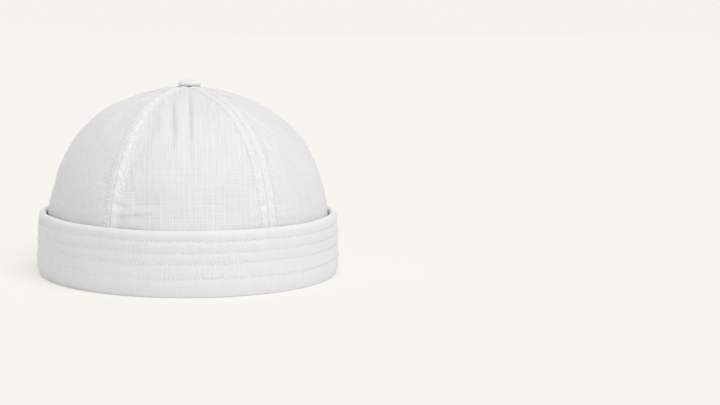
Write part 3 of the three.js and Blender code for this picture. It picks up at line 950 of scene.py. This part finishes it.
def sewing_thread(name, dark, light, painted_end_shade):
    """White cotton thread: a slanting ply twist along each stitch, with painted shade at both ends, where it
    is sunk into the cloth."""
    material, n, shader = new_material(name, 0.7, Sheen_Weight=0.1, Specular_IOR_Level=0.35)
    uv = n.add("ShaderNodeUVMap", uv_map="cloth").outputs[0]
    place = n.add("ShaderNodeSeparateXYZ", {0: uv}).outputs
    slanted = n.math("MULTIPLY_ADD", place[1], 3.0, place[0])
    ply = n.math("SINE", n.math("MULTIPLY", slanted, 4 * np.pi))
    colour = n.mix(n.fade(ply, -1.0, 1.0), dark, light)
    from_middle = n.math("ABSOLUTE", n.math("MULTIPLY_ADD", place[1], 2.0, -1.0))
    # painted shade at both ends of each stitch, for the needle holes
    colour = n.mix(n.fade(from_middle, 0.45, 1.0, 0.0, painted_end_shade), colour, PAINTED_THREAD_END_SHADE)
    n.link(colour, shader.inputs["Base Color"])
    n.link(n.bump(0.5, 0.00008, ply), shader.inputs["Normal"])
    return material


def dull_steel(name):
    """Pale dulled steel with a fine turned grain and clouded roughness."""
    material, n, shader = new_material(name, 0.5, Metallic=0.85)
    place = n.add("ShaderNodeTexCoord").outputs["Object"]
    grain = n.stretch(place, (300.0, 300.0, 4000.0), detail=3.0)
    cloud = n.stretch(place, (900.0, 900.0, 900.0))
    n.link(n.mix(cloud, (0.66, 0.65, 0.63, 1), (0.78, 0.77, 0.75, 1)), shader.inputs["Base Color"])
    n.link(n.fade(cloud, 0.2, 0.8, 0.42, 0.66), shader.inputs["Roughness"])
    n.link(n.bump(0.3, 0.00005, grain), shader.inputs["Normal"])
    return material


def pale_paper(name):
    """Plain pale floor with the faintest paper tooth. It glows a little where it is seen, so that the shadow
    on it stays light, and throws neutral light back on the cap."""
    material, n, shader = new_material(name, 0.95, Specular_IOR_Level=0.0)
    place = n.add("ShaderNodeTexCoord").outputs["Object"]
    tooth = n.noise(place, 900.0)
    paper = n.mix(tooth, (0.915, 0.903, 0.851, 1), (0.925, 0.913, 0.861, 1))
    seen = n.add("ShaderNodeLightPath").outputs["Is Camera Ray"]
    n.link(n.mix(seen, (0.9, 0.9, 0.9, 1), paper), shader.inputs["Base Color"])
    glow = n.add("ShaderNodeEmission", {"Color": BACKDROP, "Strength": 1.0})
    half = n.math("MULTIPLY", seen, 0.5)
    blend = n.add("ShaderNodeMixShader", {0: half, 1: shader.outputs[0], 2: glow.outputs[0]})
    n.link(blend.outputs[0], n.tree.nodes["Material Output"].inputs["Surface"])
    return material


woven_threads()
ripstop_grid()
cotton_tone()
# Three copies of the crown cloth, which differ in their ripstop threads and in how strong their painted weft
# shadows and strip highlights are
ripstop_cotton = cotton(
    "ripstop_cotton", (0.745, 0.735, 0.73, 1), (0.825, 0.815, 0.81, 1), CROWN_WEAVE, row_shade=0.045,
    ripstop={"Warp": 1.0, "Weft High Up": 0.4}, thread_white_and_highlight=THREAD_WHITE_AND_HIGHLIGHT, weft_shade=0.24, strip=0.55,
)
back_cotton = cotton(
    "back_cotton", (0.76, 0.75, 0.745, 1), (0.835, 0.825, 0.82, 1), CROWN_WEAVE, row_shade=0.045,
    ripstop={"Warp": 0.45, "Weft High Up": 0.8}, thread_white_and_highlight=THREAD_WHITE_AND_HIGHLIGHT, weft_shade=0.24, strip=0.55,
)
side_cotton = cotton(
    "side_cotton", (0.75, 0.74, 0.735, 1), (0.83, 0.82, 0.815, 1), CROWN_WEAVE, row_shade=0.055,
    ripstop={"Warp": 0.85, "Weft High Up": 0.5}, thread_white_and_highlight=SIDE_THREAD_WHITE_AND_HIGHLIGHT, weft_shade=0.17, strip=0.36,
)
cuff_cotton = cotton(
    "cuff_cotton", (0.795, 0.788, 0.785, 1), (0.865, 0.858, 0.855, 1), CUFF_WEAVE, row_shade=0.1
)
button_cotton = cotton(
    "button_cotton", (0.81, 0.802, 0.788, 1), (0.88, 0.872, 0.858, 1), BUTTON_WEAVE, row_shade=0.0
)
cuff_thread = sewing_thread("cuff_thread", (0.88, 0.875, 0.87, 1), (0.97, 0.965, 0.96, 1), 0.62)
crown_thread = sewing_thread("crown_thread", (0.84, 0.832, 0.827, 1), (0.93, 0.922, 0.917, 1), 0.12)
post_steel = dull_steel("post_steel")


# Putting the pieces on the frame


def dress(piece, material, slot, *nodes):
    """Gives a piece its material, the body it rides on and the solids it stands for. The slot argument is not
    used.
    """
    piece.data.materials.append(material)
    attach(piece, "root")
    if nodes:
        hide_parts(*nodes)


panel_cloths = {"front": ripstop_cotton, "side": side_cotton, "back": back_cotton}
for panel in PANELS:
    cloth, flat, area = crown_panel(panel)
    dress(cloth, panel_cloths[panel.split("_")[1]], "ripstop_cloth", panel)
cuff, cuff_flat = cuff_piece()
dress(cuff, cuff_cotton, "cuff_cloth", "cuff")
dress(button_piece(), button_cotton, "button_cloth", "top_button")
dress(seam_stitches(), crown_thread, "ripstop_cloth")
dress(cuff_stitches(), cuff_thread, "cuff_cloth")
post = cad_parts["button_post"]
post.data.materials.clear()
post.data.materials.append(post_steel)


# Floor, light and camera

FLOOR_REACH = 20000.0
FLOOR_LEVEL = -0.1
PICTURE_WIDTH = 720.0  # pixels
SENSOR_WIDTH = 36.0
SUN_DISTANCE = 3.0  # metres


def floor_piece():
    """A wide flat square just below the cap."""
    corners = np.array([[-1, -1], [1, -1], [1, 1], [-1, 1]]) * FLOOR_REACH
    points = np.column_stack([corners, np.full(4, FLOOR_LEVEL)])
    return write_mesh("floor", points, np.arange(4), np.array([4]), corners)


floor = floor_piece()
floor.data.materials.append(pale_paper("pale_paper"))


def stand(thing, right, above, back, place):
    """Puts a lamp or camera at a place in metres, turned so that its own axes lie along the given ways."""
    columns = np.column_stack([right, above, back, place])
    thing.matrix_world = Matrix(np.vstack([columns, [0, 0, 0, 1]]).tolist())
    bpy.context.scene.collection.objects.link(thing)


def sun(name, azimuth, elevation, strength, spread):
    """A broad distant light that comes from an azimuth and elevation in degrees."""
    light = bpy.data.lights.new(name, "SUN")
    light.energy = strength
    light.angle = np.radians(spread)
    lamp = bpy.data.objects.new(name, light)
    a, e = np.radians(azimuth), np.radians(elevation)
    back = np.array([np.sin(a) * np.cos(e), -np.cos(a) * np.cos(e), np.sin(e)])
    right = np.cross([0, 0, 1.0], back)
    right /= np.linalg.norm(right)
    stand(lamp, right, np.cross(back, right), back, back * SUN_DISTANCE)


sun("key", 27, 60, 1.76, 56)
sun("back_fill", 195, 8, 0.75, 40)

scene = bpy.context.scene
world = bpy.data.worlds.new("studio")
world.use_nodes = True
scene.world = world
sky = Shading(world.node_tree)
backdrop = world.node_tree.nodes["Background"]
backdrop.inputs["Color"].default_value = BACKDROP
ambient = sky.add("ShaderNodeBackground", {"Color": (0.99, 0.985, 1.0, 1), "Strength": 0.505})
seen = sky.add("ShaderNodeLightPath").outputs["Is Camera Ray"]
blend = sky.add("ShaderNodeMixShader", {0: seen, 1: ambient.outputs[0], 2: backdrop.outputs[0]})
sky.link(blend.outputs[0], world.node_tree.nodes["World Output"].inputs["Surface"])
scene.view_settings.view_transform = "Standard"


def aim_camera(distance, height, azimuth, pan, tilt, roll, focal):
    """Stands a camera at a distance, height and azimuth from the cap's axis, turned by pan, tilt and roll.

    Angles are in degrees, lengths in millimetres, and the focal length in pixels of the picture's width.
    """
    data = bpy.data.cameras.new("camera")
    data.sensor_width = SENSOR_WIDTH
    data.lens = focal * SENSOR_WIDTH / PICTURE_WIDTH
    camera = bpy.data.objects.new("camera", data)
    a, b, t, r = np.radians([azimuth, azimuth + pan, tilt, roll])
    ahead = np.array([np.sin(b) * np.cos(t), np.cos(b) * np.cos(t), -np.sin(t)])
    right = np.cross(ahead, [0, 0, 1.0])
    right /= np.linalg.norm(right)
    above = np.cross(right, ahead)
    turned_right = np.cos(r) * right + np.sin(r) * above
    turned_above = np.cos(r) * above - np.sin(r) * right
    place = np.array([-distance * np.sin(a), -distance * np.cos(a), height]) * MM
    stand(camera, turned_right, turned_above, -ahead, place)
    bpy.context.scene.camera = camera


aim_camera(distance=962.4, height=154.5, azimuth=1.92, pan=6.373, tilt=6.625, roll=0.776, focal=1537.6)
